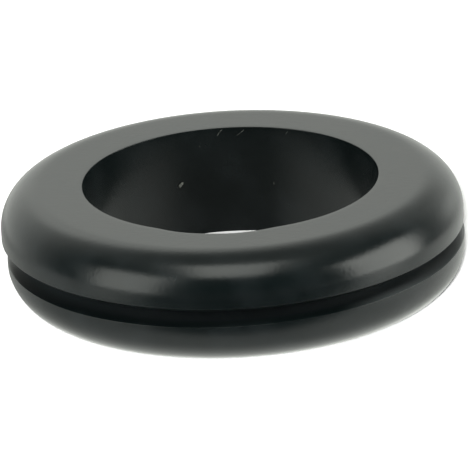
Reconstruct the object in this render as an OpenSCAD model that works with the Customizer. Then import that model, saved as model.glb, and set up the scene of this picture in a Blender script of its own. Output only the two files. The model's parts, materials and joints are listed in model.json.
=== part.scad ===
// Rubber grommet: a one-piece moulded ring that snaps into a round hole in a
// panel and lines it, so that a cable or a pipe passes without chafing.
// Both ends are alike. The ring stands on one end face, with its axis along +Z.

/* [Bore] */
// Diameter of the bore that the cable passes through
bore_d = 25.4; // [8:0.1:29.5]
// Round on the edge at each mouth of the bore
mouth_r = 0.15; // [0.05:0.05:1]

/* [Groove] */
// Diameter of the groove's floor, which is the diameter of the panel's hole
groove_d = 31.75; // [27.5:0.05:37.5]
// Width of the groove, which is the thickness of the panel
groove_w = 1.6; // [0.8:0.1:7]
// Fillet in each corner of the groove's floor
floor_r = 0.3; // [0.05:0.05:0.75]

/* [Flanges] */
// Diameter of both flanges
flange_d = 39.7; // [34:0.1:60]
// Height of the whole grommet
height = 9.7; // [4:0.1:30]
// Round on each flange's outer shoulder
shoulder_r = 3.4; // [0.2:0.1:3.5]
// Round on the lip where each flange meets the groove
lip_r = 0.6; // [0.05:0.05:1.5]

/* [Hidden] */

// Least height of the straight band between a flange's shoulder and its lip
rim_land = 0.05;
// How far each cutter runs past the surface that it cuts
over = 1;

bore_rad = bore_d / 2;
groove_rad = groove_d / 2;
flange_rad = flange_d / 2;
flange_t = (height - groove_w) / 2;
shoulder = min(shoulder_r, flange_t - lip_r - rim_land);

$fn = 96;

// Cutter that rounds a square corner at the origin, in a shape that lies
// towards -X and -Y of it.
module round_over(r) {
    translate([-r, -r])
        difference() {
            square(r + over);
            circle(r = r);
        }
}

// Draws its child at the origin, and again as its mirror image at a height h.
module both_ends(h) {
    children();
    translate([0, h])
        mirror([0, 1])
            children();
}

// Outline of the ring's wall before the groove is cut.
module blank() {
    difference() {
        translate([bore_rad, 0])
            square([flange_rad - bore_rad, height]);
        both_ends(height)
            translate([bore_rad, 0])
                rotate(180)
                    round_over(mouth_r);
        both_ends(height)
            translate([flange_rad, 0])
                mirror([0, 1])
                    round_over(shoulder);
    }
}

// Groove that the panel's edge sits in, with its floor fillets, seen as the
// shape to cut away. Its lower face is on the X axis.
module groove() {
    difference() {
        translate([groove_rad, 0])
            square([flange_rad - groove_rad + over, groove_w]);
        both_ends(groove_w)
            translate([groove_rad, 0])
                rotate(180)
                    round_over(floor_r);
    }
    both_ends(groove_w)
        translate([flange_rad, 0])
            round_over(lip_r);
}

// Half of the ring's section, on the +X side of its axis.
module section() {
    difference() {
        blank();
        translate([0, flange_t])
            groove();
    }
}

module grommet() {
    color([0.11, 0.12, 0.12])
        rotate_extrude()
            section();
}

grommet();
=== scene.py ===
"""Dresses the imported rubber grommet: its moulded ring, the lint on it and a plain studio."""

import json
import math

import bmesh
import bpy
from mathutils import Matrix, Vector


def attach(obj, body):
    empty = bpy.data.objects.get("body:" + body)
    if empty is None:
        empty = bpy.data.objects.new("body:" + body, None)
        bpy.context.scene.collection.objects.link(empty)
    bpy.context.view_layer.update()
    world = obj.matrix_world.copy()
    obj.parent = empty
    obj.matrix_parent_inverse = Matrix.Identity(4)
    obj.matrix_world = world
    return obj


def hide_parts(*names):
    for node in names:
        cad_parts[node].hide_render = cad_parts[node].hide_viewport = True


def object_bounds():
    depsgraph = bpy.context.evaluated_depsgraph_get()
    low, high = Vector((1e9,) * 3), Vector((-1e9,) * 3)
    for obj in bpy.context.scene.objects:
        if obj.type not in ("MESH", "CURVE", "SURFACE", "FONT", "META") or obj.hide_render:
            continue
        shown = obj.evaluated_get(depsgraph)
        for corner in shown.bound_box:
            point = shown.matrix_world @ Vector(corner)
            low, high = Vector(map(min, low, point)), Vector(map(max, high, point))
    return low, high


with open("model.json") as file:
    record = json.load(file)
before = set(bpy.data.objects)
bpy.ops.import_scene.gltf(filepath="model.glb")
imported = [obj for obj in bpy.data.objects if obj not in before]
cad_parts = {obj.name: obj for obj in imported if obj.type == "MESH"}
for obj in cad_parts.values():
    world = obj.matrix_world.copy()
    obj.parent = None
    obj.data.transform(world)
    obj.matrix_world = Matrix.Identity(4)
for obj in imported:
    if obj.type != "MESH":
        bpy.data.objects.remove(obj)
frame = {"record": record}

bl_info = {
    "name": "Rubber grommet",
    "version": (1, 0, 0),
    "blender": (4, 5, 0),
    "location": "View3D > Sidebar > Grommet",
    "description": "Builds a moulded rubber grommet, the lint on it and a studio to see it in",
    "category": "Add Mesh",
}

MM = 0.001
CAD_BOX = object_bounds()
MOUNTS = {mount["name"]: mount["dims"] for mount in frame["record"]["mounts"]}


def linear(colour):
    """Linear red, green and blue of an sRGB hex colour such as "#1c1e1e"."""
    shares = [int(colour[i:i + 2], 16) / 255 for i in (1, 3, 5)]
    return [s / 12.92 if s <= 0.04045 else ((s + 0.055) / 1.055) ** 2.4 for s in shares]


def add_node(tree, kind, inputs=None, **settings):
    """Adds a node with its settings. An input given as a socket is linked, any other is set."""
    node = tree.nodes.new(kind)
    for name, value in settings.items():
        setattr(node, name, value)
    for name, value in (inputs or {}).items():
        if isinstance(value, bpy.types.NodeSocket):
            tree.links.new(value, node.inputs[name])
        else:
            node.inputs[name].default_value = value
    return node


def ramp(tree, value, low, high, bottom=0.0, top=1.0):
    """A smooth ramp from bottom at low to top at high, which may be given in either order."""
    return add_node(tree, "ShaderNodeMapRange", {
        "Value": value, "From Min": low, "From Max": high, "To Min": bottom, "To Max": top},
        interpolation_type="SMOOTHSTEP").outputs[0]


def noise(tree, place, width, detail=2.0):
    """Smooth noise around 0.5 in features of that width."""
    return add_node(tree, "ShaderNodeTexNoise", {
        "Vector": place, "Scale": 1 / width, "Detail": detail}).outputs[0]


def product(tree, first, *rest):
    """The product of several values."""
    for value in rest:
        first = add_node(tree, "ShaderNodeMath", {0: first, 1: value}, operation="MULTIPLY").outputs[0]
    return first


# ---------------------------------------------------------------- sizes and colours

class GrommetSizes(bpy.types.PropertyGroup):
    """Sizes of the ring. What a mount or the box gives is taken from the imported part."""

    bore_radius: bpy.props.FloatProperty(
        name="Bore radius", description="Radius of the bore",
        default=MOUNTS["bore"]["r_mm"] * MM, unit="LENGTH")
    groove_radius: bpy.props.FloatProperty(
        name="Groove radius", description="Radius of the groove's floor",
        default=MOUNTS["panel_groove"]["r_mm"] * MM, unit="LENGTH")
    groove_width: bpy.props.FloatProperty(
        name="Groove width", description="Width of the groove between the flanges",
        default=MOUNTS["panel_groove"]["length_mm"] * MM, unit="LENGTH")
    flange_radius: bpy.props.FloatProperty(
        name="Flange radius", description="Outside radius of the flanges",
        default=CAD_BOX[1][0], unit="LENGTH")
    height: bpy.props.FloatProperty(
        name="Height", description="Height of the whole ring",
        default=CAD_BOX[1][2], unit="LENGTH")
    shoulder: bpy.props.FloatProperty(
        name="Shoulder round", description="Round on each flange's outer shoulder",
        default=3.4 * MM, unit="LENGTH")
    corner: bpy.props.FloatProperty(
        name="Lip corner", description="Small round on the outer corner of each lip",
        default=0.02 * MM, unit="LENGTH")
    ease: bpy.props.FloatProperty(
        name="Upper lip ease", description="Large round that eases the upper lip in under its flange",
        default=3.4 * MM, unit="LENGTH")
    ease_start: bpy.props.FloatProperty(
        name="Ease start", description="How far below level the large round starts to face",
        default=math.radians(50), subtype="ANGLE", unit="ROTATION")
    ease_end: bpy.props.FloatProperty(
        name="Ease end", description="How far below level the large round ends facing",
        default=math.radians(60), subtype="ANGLE", unit="ROTATION")
    floor_fillet: bpy.props.FloatProperty(
        name="Groove fillet", description="Fillet in the corners of the groove's floor",
        default=0.3 * MM, unit="LENGTH")
    mouth: bpy.props.FloatProperty(
        name="Mouth round", description="Round on the edge at each mouth of the bore",
        default=0.05 * MM, unit="LENGTH")
    wear: bpy.props.FloatProperty(
        name="Mouth wear", description="How far the bore's upper edge is worn back at the front",
        default=0.38 * MM, unit="LENGTH")
    lower_shrink: bpy.props.FloatProperty(
        name="Lower flange shrink", description="How much smaller the lower flange's radius came out",
        default=0.2 * MM, unit="LENGTH")
    mismatch: bpy.props.FloatProperty(
        name="Mould mismatch", description="How far off centre the mould's lower half sat",
        default=0.2 * MM, unit="LENGTH")
    sag: bpy.props.FloatProperty(
        name="Upper lip sag", description="How far the upper flange's underside hangs down at its lip",
        default=0.48 * MM, unit="LENGTH")
    sag_tilt: bpy.props.FloatProperty(
        name="Sag tilt", description="How much lower the upper lip is at the ring's left edge",
        default=0.02 * MM, unit="LENGTH")
    drop: bpy.props.FloatProperty(
        name="Lower lip drop", description="How far the lower flange's top falls away at its lip",
        default=0.2 * MM, unit="LENGTH")
    crown: bpy.props.FloatProperty(
        name="Lower lip crown",
        description="How far from level the lower flange's top turns before its lip",
        default=math.radians(18), subtype="ANGLE", unit="ROTATION")
    drop_tilt: bpy.props.FloatProperty(
        name="Drop tilt", description="How much lower the lower lip is at the ring's left edge",
        default=0.25 * MM, unit="LENGTH")


class GrommetFinish(bpy.types.PropertyGroup):
    """Colours and finish of the rubber and of the lint on it."""

    rubber: bpy.props.FloatVectorProperty(
        name="Rubber", description="Colour of the black rubber",
        default=linear("#0e1617"), subtype="COLOR", min=0, max=1)
    roughness: bpy.props.FloatProperty(
        name="Roughness", description="Roughness of the moulded skin", default=0.25, min=0, max=1)
    # Bloom and painted light: the groove's colour is lighter than the rubber's, standing in for light there
    # as well as bloom.
    bloom_and_painted_light: bpy.props.FloatVectorProperty(
        name="Bloomed rubber", description="Colour of the rubber in the groove, where its bloom stays",
        default=linear("#474e52"), subtype="COLOR", min=0, max=1)
    # A dusting and painted light: the ledge's colour is lighter, standing in also for light falling from
    # the right.
    dust_and_painted_light: bpy.props.FloatVectorProperty(
        name="Dusty rubber", description="Colour of the groove's ledge, where dust lies",
        default=linear("#565a5c"), subtype="COLOR", min=0, max=1)
    groove_roughness: bpy.props.FloatProperty(
        name="Groove roughness", description="Roughness of the rubber in the groove",
        default=0.3, min=0, max=1)
    ior: bpy.props.FloatProperty(
        name="IOR", description="Refractive index of the rubber", default=1.5, min=1, max=3)
    grain: bpy.props.FloatProperty(
        name="Grain", description="Width of the grain that the mould left on the skin",
        default=0.3 * MM, unit="LENGTH")
    clouds: bpy.props.FloatProperty(
        name="Bloom clouds", description="Width of the patches of bloom on the skin",
        default=4 * MM, unit="LENGTH")
    lint: bpy.props.FloatVectorProperty(
        name="Lint", description="Colour of the lint",
        default=linear("#8c8d88"), subtype="COLOR", min=0, max=1)


class GrommetStudio(bpy.types.PropertyGroup):
    """The camera and the level of the studio's lights."""

    elevation: bpy.props.FloatProperty(
        name="Camera elevation", description="Angle of the camera above the floor",
        default=math.radians(20.93), subtype="ANGLE", unit="ROTATION")
    roll: bpy.props.FloatProperty(
        name="Camera roll", description="How far the camera is turned about its own axis",
        default=math.radians(3.05), subtype="ANGLE", unit="ROTATION")
    level: bpy.props.FloatProperty(
        name="Light level", description="Factor on every lamp", default=1.0, min=0)


# ---------------------------------------------------------------- the ring

ARC_STEP = math.radians(4)
SMALL_ARC = 0.5 * MM               # an arc under this radius takes the coarser step
SMALL_ARC_STEP = math.radians(9)
LEAST_ARC_STEPS = 4
RING_SEGMENTS = 480
FLAT_STEP = 0.5 * MM
SAME_PLACE = 0.0001 * MM
EDGE = 0.15 * MM                   # round where the upper lip's ease meets the flange's underside
WEAR_MIDDLE = math.radians(-97)    # middle of the worn stretch of the bore's edge, counted from +X
WEAR_REACH = math.radians(24.5)    # how far it reaches to either side
EVEN_SIDES = (0.6, 0.9)            # sideways places, in flange radii, over which the crown is lost


def arc(centre, radius, start, end):
    """Points on an arc in the section plane. Angles are in degrees from the outward direction."""
    a, b = math.radians(start), math.radians(end)
    step = SMALL_ARC_STEP if radius < SMALL_ARC else ARC_STEP
    steps = max(LEAST_ARC_STEPS, round(abs(b - a) / step))
    angles = [a + (b - a) * i / steps for i in range(steps + 1)]
    return [(centre[0] + radius * math.cos(t), centre[1] + radius * math.sin(t)) for t in angles]


def filled(points):
    """The closed outline with extra points along its long straight stretches."""
    out = []
    for (r0, z0), (r1, z1) in zip(points, points[1:] + points[:1]):
        length = math.hypot(r1 - r0, z1 - z0)
        if length < SAME_PLACE:
            continue
        steps = math.ceil(length / FLAT_STEP)
        out += [(r0 + (r1 - r0) * i / steps, z0 + (z1 - z0) * i / steps) for i in range(steps)]
    return out


def ring_section(s):
    """Closed outline of the ring's wall as (radius, height), anticlockwise from the lower bore edge."""
    low = (s.height - s.groove_width) / 2
    high = (s.height + s.groove_width) / 2
    start, end = 360 - math.degrees(s.ease_start), 360 - math.degrees(s.ease_end)
    long, short = s.ease - s.corner, s.ease - EDGE
    rim = high - s.sag + EDGE + short * math.sin(s.ease_end) - long * math.sin(s.ease_start)
    ease = (s.flange_radius - s.corner - long * math.cos(s.ease_start),
            rim + long * math.sin(s.ease_start))
    edge = (ease[0] + short * math.cos(s.ease_end), ease[1] - short * math.sin(s.ease_end))
    bend = s.drop / (1 - math.cos(s.crown))
    crown = (s.flange_radius - s.corner - (bend - s.corner) * math.sin(s.crown), low - bend)
    lip = (s.flange_radius - s.corner, crown[1] + (bend - s.corner) * math.cos(s.crown))
    facing = 90 - math.degrees(s.crown)
    lower = (
        arc((s.bore_radius + s.mouth, s.mouth), s.mouth, 180, 270)
        + arc((s.flange_radius - s.shoulder, s.shoulder), s.shoulder, 270, 360)
        + arc(lip, s.corner, 0, facing)
        + arc(crown, bend, facing, 90)
        + arc((s.groove_radius + s.floor_fillet, low + s.floor_fillet), s.floor_fillet, 270, 180)
    )
    upper = (
        arc((s.groove_radius + s.floor_fillet, high - s.floor_fillet), s.floor_fillet, 180, 90)
        + arc(edge, EDGE, 270, end)
        + arc(ease, s.ease, end, start)
        + arc((s.flange_radius - s.corner, rim), s.corner, start, 360)
        + arc((s.flange_radius - s.shoulder, s.height - s.shoulder), s.shoulder, 0, 90)
        + arc((s.bore_radius + s.mouth, s.height - s.mouth), s.mouth, 90, 180)
    )
    return filled(lower + upper)


def smooth_step(value, low, high):
    """0 below low, 1 above high and a smooth rise between them."""
    t = min(1, max(0, (value - low) / (high - low)))
    return t * t * (3 - 2 * t)


def as_moulded(s, r, z, turn):
    """Where a point of the true section ends up on the moulded ring, turned about the axis."""
    low, middle = (s.height - s.groove_width) / 2, s.height / 2
    outer = smooth_step(r, s.groove_radius, s.flange_radius)
    upper = smooth_step(z, low, middle) * outer
    lower = outer - upper
    r -= s.lower_shrink * lower
    worn = smooth_step(math.cos(turn - WEAR_MIDDLE), math.cos(WEAR_REACH), 1)
    r += (s.wear * worn * smooth_step(z, middle, s.height)
          * (1 - smooth_step(r, s.bore_radius, s.groove_radius)))
    x = r * math.cos(turn) + s.mismatch * lower
    y = r * math.sin(turn)
    upper *= 1 - smooth_step(z, s.height - low, s.height - s.shoulder / 2)
    lower *= smooth_step(z, s.shoulder / 2, low - s.drop)
    # At both sides the lower flange's top falls evenly to its lip, so its crown is lost there.
    even = smooth_step(abs(x) / s.flange_radius, *EVEN_SIDES)
    z += even * lower * (max(0, min(s.drop, low - z)) - s.drop)
    z += (s.sag_tilt * upper + s.drop_tilt * lower) * x / s.flange_radius
    return x, y, z


def build_ring(s):
    """The ring as one closed mesh, turned from its section."""
    section = ring_section(s)
    mesh = bmesh.new()
    rings = []
    for k in range(RING_SEGMENTS):
        turn = 2 * math.pi * k / RING_SEGMENTS
        rings.append([mesh.verts.new(as_moulded(s, r, z, turn)) for r, z in section])
    for ring, after in zip(rings, rings[1:] + rings[:1]):
        for i in range(len(section)):
            j = (i + 1) % len(section)
            mesh.faces.new((ring[i], after[i], after[j], ring[j]))
    bmesh.ops.recalc_face_normals(mesh, faces=mesh.faces)
    return finished("moulded_ring", mesh)


def finished(name, mesh):
    """A smooth-shaded object of that name from a bmesh."""
    data = bpy.data.meshes.new(name)
    mesh.to_mesh(data)
    mesh.free()
    data.shade_smooth()
    piece = bpy.data.objects.new(name, data)
    bpy.context.scene.collection.objects.link(piece)
    return piece


# Where the rubber's finish changes. A pair is where a change starts and where it is complete, and a
# depth is the distance in from the flanges' rim.
LEDGE = (0.3, 0.9)                        # upward part of the normal on a ledge
UNDERSIDE = (-0.1, -0.5)                  # the same on an underside
DEEP = (1 * MM, 2 * MM)                   # depth from which every face is in the groove
BLOOM_AND_LIGHT_DEPTH = (0.4 * MM, 2.6 * MM)        # depth at which the groove's bloom and painted light get full
DUST_AND_LIGHT_DEPTH = (1.7 * MM, 0.5 * MM)         # depth at which the ledge's dusting and painted light get full
PAINTED_LIGHT_SIDE = (0.4, 0.75)                   # the same to the right, in flange radii: painted light from the right
OFF_BORE = (1 * MM, 1.5 * MM)             # distance from the bore where the groove's finish sets in
UNDER_LOWER_LIP = (0.5 * MM, 0.3 * MM)    # distance below the lower lip where it sets in
OVER_UPPER_LIP = (0.1 * MM, 0)            # distance above the upper lip where it ends
DULL_LIP = (1.6 * MM, 1.2 * MM)           # distance above the upper lip up to which its underside is dull
CLOUD = (0.4, 0.75)                       # noise in a cloud of bloom
CLOUD_DETAIL = 4.0
CLOUD_SHARE = 0.12                        # bloom in a cloud, against 1 deep in the groove
SATIN = (0.3, 0.7)                        # noise over which the skin's roughness changes
SATIN_SPREAD = 0.02                       # how far it changes to either side
GRAIN_DEPTH = 0.01 * MM


def moulded_rubber(finish, sizes):
    """Black carbon-filled rubber, compression moulded in a polished mould: a deep cool black
    with a satin skin, so lamps show as soft-edged patches and a flat face turns grey at a low angle.
    The groove and its lips, where the split rings of the mould met, are dull. The groove is painted
    lighter, most of all deep in, as bloom and painted light, and its ledge lighter towards the right,
    as a dusting and painted light."""
    material = bpy.data.materials.new("moulded black rubber")
    material.use_nodes = True
    tree = material.node_tree
    skin = tree.nodes["Principled BSDF"]
    skin.inputs["IOR"].default_value = finish.ior
    place = add_node(tree, "ShaderNodeTexCoord").outputs["Object"]
    parts = add_node(tree, "ShaderNodeSeparateXYZ", {0: place})
    flat = add_node(tree, "ShaderNodeVectorMath", {0: place, 1: (1, 1, 0)}, operation="MULTIPLY")
    away = add_node(tree, "ShaderNodeVectorMath", {0: flat.outputs[0]}, operation="LENGTH").outputs["Value"]
    depth = add_node(tree, "ShaderNodeMath", {
        0: sizes.flange_radius, 1: away}, operation="SUBTRACT").outputs[0]
    normal = add_node(tree, "ShaderNodeNewGeometry").outputs["Normal"]
    facing = add_node(tree, "ShaderNodeSeparateXYZ", {0: normal}).outputs["Z"]
    low = (sizes.height - sizes.groove_width) / 2 - sizes.drop
    high = (sizes.height + sizes.groove_width) / 2 - sizes.sag
    up = ramp(tree, facing, *LEDGE)
    deep = ramp(tree, depth, *DEEP)
    within = product(
        tree,
        ramp(tree, parts.outputs["Z"], *(low - gap for gap in UNDER_LOWER_LIP)),
        ramp(tree, away, *(sizes.bore_radius + gap for gap in OFF_BORE)))
    groove = product(
        tree, within,
        ramp(tree, parts.outputs["Z"], *(high + gap for gap in OVER_UPPER_LIP)),
        add_node(tree, "ShaderNodeMath", {0: up, 1: deep}, operation="MAXIMUM").outputs[0])
    lip = product(
        tree, within, ramp(tree, facing, *UNDERSIDE),
        ramp(tree, parts.outputs["Z"], *(high + gap for gap in DULL_LIP)))
    # A dusting and painted light: the ledge is lighter on faces that look up, near the rim and towards the
    # right, where light from the right falls.
    ledge = product(
        tree, groove, up, ramp(tree, depth, *DUST_AND_LIGHT_DEPTH),
        ramp(tree, parts.outputs["X"], *(share * sizes.flange_radius for share in PAINTED_LIGHT_SIDE)))
    # Bloom is wax that comes out of the rubber: it stays in the groove and lies in faint clouds
    # elsewhere. In the groove its lighter colour is also painted light, lightest deep in, where the
    # least light reaches.
    cloud = ramp(tree, noise(tree, place, finish.clouds, CLOUD_DETAIL), *CLOUD, 0.0, CLOUD_SHARE)
    bloom_and_painted_light = add_node(tree, "ShaderNodeMath", {
        0: product(tree, groove, ramp(tree, depth, *BLOOM_AND_LIGHT_DEPTH)), 1: cloud}, operation="MAXIMUM")
    # Bloom over the rubber's colour, which in the groove is also painted light.
    bloom = add_node(tree, "ShaderNodeMix", {
        0: bloom_and_painted_light.outputs[0], "A": (*finish.rubber, 1), "B": (*finish.bloom_and_painted_light, 1)}, data_type="RGBA")
    # The ledge's dusting and painted light go over that.
    dust_and_light = add_node(tree, "ShaderNodeMix", {
        0: ledge, "A": bloom.outputs["Result"], "B": (*finish.dust_and_painted_light, 1)}, data_type="RGBA")
    tree.links.new(dust_and_light.outputs["Result"], skin.inputs["Base Color"])
    dull = add_node(tree, "ShaderNodeMath", {0: groove, 1: lip}, operation="MAXIMUM").outputs[0]
    satin = ramp(tree, noise(tree, place, finish.clouds), *SATIN,
                 finish.roughness - SATIN_SPREAD, finish.roughness + SATIN_SPREAD)
    tree.links.new(ramp(tree, dull, 0, 1, satin, finish.groove_roughness), skin.inputs["Roughness"])
    # Real mould grain is about 0.05 mm wide, which is too fine to see, so it is drawn coarser.
    relief = add_node(tree, "ShaderNodeBump", {
        "Strength": 1.0, "Distance": GRAIN_DEPTH, "Height": noise(tree, place, finish.grain)})
    tree.links.new(relief.outputs[0], skin.inputs["Normal"])
    return material


# ---------------------------------------------------------------- the lint

LINT_SIDES = 8
LINT_STEPS = 3            # stretches from one given point to the next
LINT_END = 0.5            # thickness at its ends, against its middle
LINT_STAND_OFF = 0.7      # how far its middle stands off the wall, in half thicknesses
LINT_ROUGHNESS = 0.95
# Each bit of lint lies along points on the bore's wall. It is given as half its thickness in mm
# and its points as bearings in degrees from the front and heights in mm.
LINT = (
    (0.115, ((-159.1, 4.70), (-160.0, 4.91), (-160.9, 5.08))),
    (0.018, ((-175.8, 8.98), (-176.5, 9.27), (-177.8, 9.54))),
    (0.012, ((176.6, 8.94), (175.0, 9.14), (173.7, 9.45))),
    (0.022, ((162.6, 4.34), (162.6, 4.64))),
    (0.012, ((156.7, 9.14), (155.8, 9.45))),
    (0.016, ((-168.7, 8.12), (-168.3, 8.24))),
)


def add_tube(mesh, points, radius):
    """Adds a closed tube along the points, thinner at its ends, to a bmesh."""
    rings = []
    last = len(points) - 1
    for i, point in enumerate(points):
        ahead = (points[min(last, i + 1)] - points[max(0, i - 1)]).normalized()
        side = ahead.orthogonal().normalized()
        other = ahead.cross(side)
        share = radius * (LINT_END if i in (0, last) else 1)
        turns = [2 * math.pi * k / LINT_SIDES for k in range(LINT_SIDES)]
        rings.append([mesh.verts.new(point + (side * math.cos(t) + other * math.sin(t)) * share)
                      for t in turns])
    for ring, after in zip(rings, rings[1:]):
        for k in range(LINT_SIDES):
            j = (k + 1) % LINT_SIDES
            mesh.faces.new((ring[k], ring[j], after[j], after[k]))
    mesh.faces.new(rings[0][::-1])
    mesh.faces.new(rings[-1])


def on_wall(radius, bearing, height):
    """The point at that radius, bearing from the front in degrees and height in mm."""
    turn = math.radians(bearing)
    return Vector((radius * math.sin(turn), -radius * math.cos(turn), height * MM))


def build_lint(s):
    """Bits of lint that cling to the bore's wall, as one object."""
    mesh = bmesh.new()
    for thickness, places in LINT:
        run = []
        for (a0, z0), (a1, z1) in zip(places, places[1:]):
            shares = [i / LINT_STEPS for i in range(LINT_STEPS)]
            run += [(a0 + (a1 - a0) * share, z0 + (z1 - z0) * share) for share in shares]
        run.append(places[-1])
        reach = s.bore_radius - LINT_STAND_OFF * thickness * MM
        add_tube(mesh, [on_wall(reach, a, z) for a, z in run], thickness * MM)
    bmesh.ops.recalc_face_normals(mesh, faces=mesh.faces)
    return finished("lint", mesh)


def cotton_lint(finish):
    """Cotton lint, rubbed off cloth: greyish white fibres, wholly matt, that show as pale flecks."""
    material = bpy.data.materials.new("cotton lint")
    material.use_nodes = True
    fibre = material.node_tree.nodes["Principled BSDF"]
    fibre.inputs["Base Color"].default_value = (*finish.lint, 1)
    fibre.inputs["Roughness"].default_value = LINT_ROUGHNESS
    return material


# ---------------------------------------------------------------- the studio

PICTURE = 470                     # side of the square picture in pixels
SCALE = 231.4                     # pixels to one flange radius
CENTRE = (233.0, 231.2)           # pixel of the ring's centre
DISTANCE = 30                     # camera to ring, in flange radii
CLIP = (1, 200)                   # nearest and farthest that the camera sees, in flange radii
SENSOR = 36                       # width of the camera's sensor in mm
LAMP_WHITE = (0.97, 1.0, 0.94)    # the faintly green white of fluorescent softboxes
LAMP_DISTANCE = 1.5               # softbox to ring in metres

# Each softbox has a name, its bearing from the camera's side, its elevation, half its apparent width
# and height, all in degrees, and its luminance, white being 1.
SOFTBOXES = (
    ("softbox over the camera", -3.6, 62.3, 15.4, 18, 2.93),
    ("softbox on the left", -55.5, 15.5, 17.3, 23.6, 2.73),
    ("softbox on the right", 79.4, 12.5, 21.5, 22.6, 3.94),
)
FLOOR_LAMP_WAY = (-0.052, -0.9287, 0.3848)    # the way from the ring to the floor lamp
FLOOR_LAMP_STRENGTH = 8.6
FLOOR_LAMP_WIDTH = math.radians(4)


def place_camera(studio, radius, aim):
    """A long lens on the -Y side, turned so that the ring's right side is a little higher."""
    e, roll = studio.elevation, studio.roll
    forward = Vector((0, math.cos(e), -math.sin(e)))
    level_right = Vector((1, 0, 0))
    level_up = level_right.cross(forward)
    right = level_right * math.cos(roll) - level_up * math.sin(roll)
    up = level_right * math.sin(roll) + level_up * math.cos(roll)
    pixel = radius / SCALE
    data = bpy.data.cameras.new("camera")
    data.sensor_width = SENSOR
    data.lens = SENSOR * DISTANCE * SCALE / PICTURE
    data.clip_start, data.clip_end = (reach * radius for reach in CLIP)
    camera = bpy.data.objects.new("camera", data)
    place = (aim - forward * DISTANCE * radius
             + right * (PICTURE / 2 - CENTRE[0]) * pixel - up * (PICTURE / 2 - CENTRE[1]) * pixel)
    turn = Matrix((right, up, -forward)).transposed()
    camera.matrix_world = Matrix.Translation(place) @ turn.to_4x4()
    bpy.context.scene.collection.objects.link(camera)
    bpy.context.scene.camera = camera


def add_lamp(name, kind, way):
    """A lamp of that kind that shines back along way, and that the camera doesn't see."""
    lamp = bpy.data.objects.new(name, bpy.data.lights.new(name, kind))
    lamp.rotation_mode = "QUATERNION"
    lamp.rotation_quaternion = Vector(way).to_track_quat("Z", "Y")
    lamp.visible_camera = False
    bpy.context.scene.collection.objects.link(lamp)
    return lamp


def softbox(aim, name, bearing, elevation, wide, tall, luminance):
    """A rectangular area lamp that faces the ring."""
    b, e = math.radians(bearing), math.radians(elevation)
    way = Vector((math.sin(b) * math.cos(e), -math.cos(b) * math.cos(e), math.sin(e)))
    lamp = add_lamp(name, "AREA", way)
    lamp.location = aim + way * LAMP_DISTANCE
    data = lamp.data
    data.shape = "RECTANGLE"
    data.size = 2 * LAMP_DISTANCE * math.tan(math.radians(wide))
    data.size_y = 2 * LAMP_DISTANCE * math.tan(math.radians(tall))
    data.energy = luminance * math.pi * data.size * data.size_y
    data.color = LAMP_WHITE
    return lamp


def floor_lamp(level):
    """A distant lamp for the floor, which makes it white and keeps the ring's shadow on it."""
    lamp = add_lamp("floor lamp", "SUN", FLOOR_LAMP_WAY)
    lamp.visible_glossy = False
    lamp.data.energy = FLOOR_LAMP_STRENGTH * level
    lamp.data.angle = FLOOR_LAMP_WIDTH
    return lamp


def light_only(lamps, name, lit):
    """Keeps the light of the lamps to the objects in lit, through a collection of that name."""
    receivers = bpy.data.collections.new(name)
    for piece in lit:
        receivers.objects.link(piece)
    for lamp in lamps:
        lamp.light_linking.receiver_collection = receivers


# The room as reflections see it. A way is a unit vector from the ring, a height is the upward part of
# one, a pair is where a change starts and where it is complete, and a level of 1 is white.
BACKDROP_WAY = (-0.122, 0.993, 0)
BACKDROP_EDGE = (0.04, 1.0)      # along that way
BACKDROP_TOP = (1.0, 0.7)        # height
BACKDROP_LEVEL = 1.13
CEILING = (0.6, 1.0)             # height
CEILING_LEVEL = 0.32
FAR_FLOOR = (-0.05, -0.2)        # height
FAR_FLOOR_SIDES = (0.45, 0.95)   # sideways
FAR_FLOOR_LEVELS = (0.16, 0.62)  # in the middle and at the sides
DIM_CORE = 0.4                   # share of a patch's reach within which it is fully dimmed
GLOW_CORE = 0.25                 # the same for its glow
# Each patch has its way, its reach, the share of the room's light that stays and the level it adds.
ROOM_PATCHES = (
    ((0.33, 0.74, 0.57), 0.33, 0.66, 0.0),     # dim, above the backdrop's right
    ((-0.2, 0.77, 0.6), 0.27, 1.0, 0.62),      # a glow over its left
    ((0.67, 0.735, 0.105), 0.26, 1.0, 0.6),    # its bright right end
)


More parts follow.
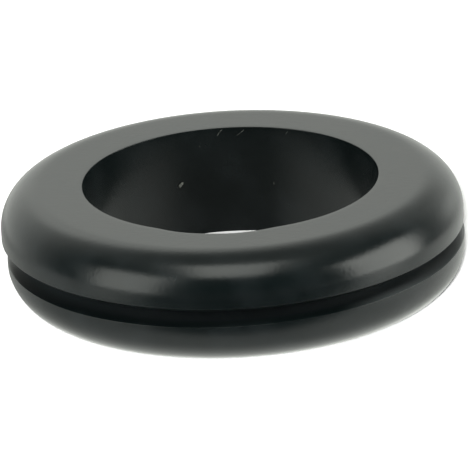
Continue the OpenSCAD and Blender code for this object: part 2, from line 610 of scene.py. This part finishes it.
def white_room():
    """World that is white to the camera, and a white backdrop in a dark room to everything else."""
    world = bpy.data.worlds.new("studio")
    world.use_nodes = True
    bpy.context.scene.world = world
    tree = world.node_tree
    tree.nodes.clear()
    seen = add_node(tree, "ShaderNodeLightPath").outputs["Is Camera Ray"]
    way = add_node(tree, "ShaderNodeTexCoord").outputs["Generated"]
    parts = add_node(tree, "ShaderNodeSeparateXYZ", {0: way})
    behind = add_node(tree, "ShaderNodeVectorMath", {
        0: way, 1: BACKDROP_WAY}, operation="DOT_PRODUCT").outputs["Value"]
    share = product(tree, ramp(tree, behind, *BACKDROP_EDGE),
                    ramp(tree, parts.outputs["Z"], *BACKDROP_TOP))
    ceiling = ramp(tree, parts.outputs["Z"], *CEILING, 0.0, CEILING_LEVEL)
    backdrop = add_node(tree, "ShaderNodeMapRange", {
        "Value": share, "To Min": ceiling, "To Max": BACKDROP_LEVEL}).outputs[0]
    sideways = add_node(tree, "ShaderNodeMath", {
        0: parts.outputs["X"]}, operation="ABSOLUTE").outputs[0]
    beside = ramp(tree, sideways, *FAR_FLOOR_SIDES, *FAR_FLOOR_LEVELS)
    below = ramp(tree, parts.outputs["Z"], *FAR_FLOOR, 0.0, beside)
    room = add_node(tree, "ShaderNodeMath", {0: backdrop, 1: below}, operation="MAXIMUM").outputs[0]
    for centre, reach, left, level in ROOM_PATCHES:
        off = add_node(tree, "ShaderNodeVectorMath", {
            0: way, 1: centre}, operation="DISTANCE").outputs["Value"]
        room = product(tree, room, ramp(tree, off, reach, DIM_CORE * reach, 1.0, left))
        glow = ramp(tree, off, reach, GLOW_CORE * reach, 0.0, level)
        room = add_node(tree, "ShaderNodeMath", {0: room, 1: glow}).outputs[0]
    strength = add_node(tree, "ShaderNodeMath", {0: room, 1: seen}, operation="MAXIMUM").outputs[0]
    colour = add_node(tree, "ShaderNodeMix", {
        0: seen, "A": (*LAMP_WHITE, 1), "B": (1, 1, 1, 1)}, data_type="RGBA").outputs["Result"]
    light = add_node(tree, "ShaderNodeBackground", {"Color": colour, "Strength": strength})
    add_node(tree, "ShaderNodeOutputWorld", {"Surface": light.outputs[0]})


FLOOR_HALF = 1.5                 # half the floor's side in metres
FLOOR_GAP = 0.02 * MM            # keeps the floor off the ring's end face
PAPER = "#f6f6f6"
FOOT = 0.7 * MM                  # how far the painted shade at the foot of the bore's wall reaches
FOOT_SHADE = 0.5                 # painted shade: share of the paper's colour taken off at the wall

# The floor as reflections see it: a painted glow, a sheet that shines though no lamp lights it. Places
# are in flange radii from the ring's centre, a pair is where a change starts and where it is complete,
# and a level of 1 is white.
SHINE_FRONT = (-1.46, -1.05)     # its front edge
SHINE_LEFT = (-1.1, -0.3)
SHINE_LEFT_LEVELS = (0.6, 0.8)
SHINE_RIGHT = (0.2, 0.65)
SHINE_RIGHT_LEVEL = 1.0
SHINE_END = 2.52                 # no floor is seen beyond this
PATCH_EDGE = (0.6, 0.2)
SHINE_PATCHES = ((-1.5, -1.45, 0.8), (1.75, -1.1, 0.9))    # place and level
UNDER_CENTRE = (0.018, -0.02)    # middle of the painted glow's bright disc that the ring's lower round meets
UNDER_EDGE = (1.015, 0.84)
UNDER_LEVEL = 2.05


def distance_from(tree, place, x, y):
    """How far a place is from a point on the floor."""
    return add_node(tree, "ShaderNodeVectorMath", {
        0: place, 1: (x, y, 0)}, operation="DISTANCE").outputs["Value"]


def white_paper(radius, bore):
    """Uncoated white paper, wholly matt: a plain white that takes the ring's soft shadow, with painted
    shade at the foot of the bore's wall. Reflections see a painted glow up to its front edge, with the
    dark room beyond. From below it is clear, so that the ring's underside shows."""
    material = bpy.data.materials.new("white paper")
    material.use_nodes = True
    tree = material.node_tree
    tree.nodes.clear()
    place = add_node(tree, "ShaderNodeTexCoord").outputs["Object"]
    parts = add_node(tree, "ShaderNodeSeparateXYZ", {0: place})
    away = distance_from(tree, place, 0, 0)
    inside = add_node(tree, "ShaderNodeMath", {0: away, 1: bore}, operation="LESS_THAN").outputs[0]
    # Painted shade: the paper's colour is darkened at the foot of the bore's wall, where the wall keeps
    # some of the light off it.
    foot = ramp(tree, away, bore - FOOT, bore, 0.0, FOOT_SHADE)
    tone = add_node(tree, "ShaderNodeMix", {
        0: product(tree, foot, inside), "A": (*linear(PAPER), 1), "B": (0, 0, 0, 1)}, data_type="RGBA")
    paper = add_node(tree, "ShaderNodeBsdfDiffuse", {"Color": tone.outputs["Result"]})

    left = ramp(tree, parts.outputs["X"], *(x * radius for x in SHINE_LEFT), *SHINE_LEFT_LEVELS)
    right = ramp(tree, parts.outputs["X"], *(x * radius for x in SHINE_RIGHT), left, SHINE_RIGHT_LEVEL)
    level = ramp(tree, parts.outputs["Y"], *(y * radius for y in SHINE_FRONT), 0.0, right)
    for x, y, top in SHINE_PATCHES:
        off = distance_from(tree, place, x * radius, y * radius)
        patch = ramp(tree, off, *(edge * radius for edge in PATCH_EDGE), 0.0, top)
        level = add_node(tree, "ShaderNodeMath", {0: level, 1: patch}).outputs[0]
    under = distance_from(tree, place, *(part * radius for part in UNDER_CENTRE))
    level = ramp(tree, under, *(edge * radius for edge in UNDER_EDGE), level, UNDER_LEVEL)
    shine = add_node(tree, "ShaderNodeEmission", {"Color": (*LAMP_WHITE, 1), "Strength": level})

    through = add_node(tree, "ShaderNodeBsdfTransparent").outputs[0]
    beyond = add_node(tree, "ShaderNodeMath", {
        0: away, 1: SHINE_END * radius}, operation="GREATER_THAN").outputs[0]
    clear = add_node(tree, "ShaderNodeMath", {0: inside, 1: beyond}, operation="MAXIMUM").outputs[0]
    reflected = add_node(tree, "ShaderNodeMixShader", {0: clear, 1: shine.outputs[0], 2: through})
    above = add_node(tree, "ShaderNodeMixShader", {
        0: add_node(tree, "ShaderNodeLightPath").outputs["Is Glossy Ray"],
        1: paper.outputs[0], 2: reflected.outputs[0]})
    surface = add_node(tree, "ShaderNodeMixShader", {
        0: add_node(tree, "ShaderNodeNewGeometry").outputs["Backfacing"],
        1: above.outputs[0], 2: through})
    add_node(tree, "ShaderNodeOutputMaterial", {"Surface": surface.outputs[0]})
    return material


def pale_floor():
    """A wide flat floor, just under the ring."""
    data = bpy.data.meshes.new("floor")
    ways = ((-1, -1), (1, -1), (1, 1), (-1, 1))
    corners = [(x * FLOOR_HALF, y * FLOOR_HALF, -FLOOR_GAP) for x, y in ways]
    data.from_pydata(corners, [], [(0, 1, 2, 3)])
    floor = bpy.data.objects.new("floor", data)
    bpy.context.scene.collection.objects.link(floor)
    return floor


# ---------------------------------------------------------------- operators and panel

class GROMMET_OT_ring(bpy.types.Operator):
    """Build the moulded ring in place of the plain solid"""

    bl_idname = "grommet.ring"
    bl_label = "Moulded ring"

    def execute(self, context):
        scene = context.scene
        ring = build_ring(scene.grommet_sizes)
        ring.data.materials.append(moulded_rubber(scene.grommet_finish, scene.grommet_sizes))
        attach(ring, "root")
        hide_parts("grommet")
        return {"FINISHED"}


class GROMMET_OT_lint(bpy.types.Operator):
    """Build the bits of lint on the bore's wall"""

    bl_idname = "grommet.lint"
    bl_label = "Lint"

    def execute(self, context):
        lint = build_lint(context.scene.grommet_sizes)
        lint.data.materials.append(cotton_lint(context.scene.grommet_finish))
        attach(lint, "root")
        return {"FINISHED"}


class GROMMET_OT_stage(bpy.types.Operator):
    """Build the floor, the white room, the lamps and the camera"""

    bl_idname = "grommet.stage"
    bl_label = "Studio"

    def execute(self, context):
        scene = context.scene
        sizes, studio = scene.grommet_sizes, scene.grommet_studio
        aim = Vector((0, 0, sizes.height / 2))
        scene.view_settings.view_transform = "Standard"
        place_camera(studio, sizes.flange_radius, aim)
        white_room()
        floor = pale_floor()
        floor.data.materials.append(white_paper(sizes.flange_radius, sizes.bore_radius))
        lamps = [softbox(aim, *shape, luminance * studio.level) for *shape, luminance in SOFTBOXES]
        light_only([floor_lamp(studio.level)], "lit by the floor lamp", [floor])
        pieces = [piece for piece in scene.objects if piece.type == "MESH" and piece != floor]
        light_only(lamps[1:], "lit by the side softboxes", pieces)
        return {"FINISHED"}


class GROMMET_PT_panel(bpy.types.Panel):
    """Sidebar panel with a button for each piece"""

    bl_label = "Rubber grommet"
    bl_space_type = "VIEW_3D"
    bl_region_type = "UI"
    bl_category = "Grommet"

    def draw(self, context):
        for operator in OPERATORS:
            self.layout.operator(operator.bl_idname)
        for group in (context.scene.grommet_sizes, context.scene.grommet_finish,
                      context.scene.grommet_studio):
            box = self.layout.box()
            for name in group.__annotations__:
                box.prop(group, name)


OPERATORS = (GROMMET_OT_ring, GROMMET_OT_lint, GROMMET_OT_stage)
CLASSES = (GrommetSizes, GrommetFinish, GrommetStudio, *OPERATORS, GROMMET_PT_panel)


def register():
    for cls in CLASSES:
        bpy.utils.register_class(cls)
    bpy.types.Scene.grommet_sizes = bpy.props.PointerProperty(type=GrommetSizes)
    bpy.types.Scene.grommet_finish = bpy.props.PointerProperty(type=GrommetFinish)
    bpy.types.Scene.grommet_studio = bpy.props.PointerProperty(type=GrommetStudio)


def unregister():
    del bpy.types.Scene.grommet_studio
    del bpy.types.Scene.grommet_finish
    del bpy.types.Scene.grommet_sizes
    for cls in reversed(CLASSES):
        bpy.utils.unregister_class(cls)


def main():
    register()
    bpy.ops.grommet.ring()
    bpy.ops.grommet.lint()
    bpy.ops.grommet.stage()


if __name__ == "__main__":
    main()
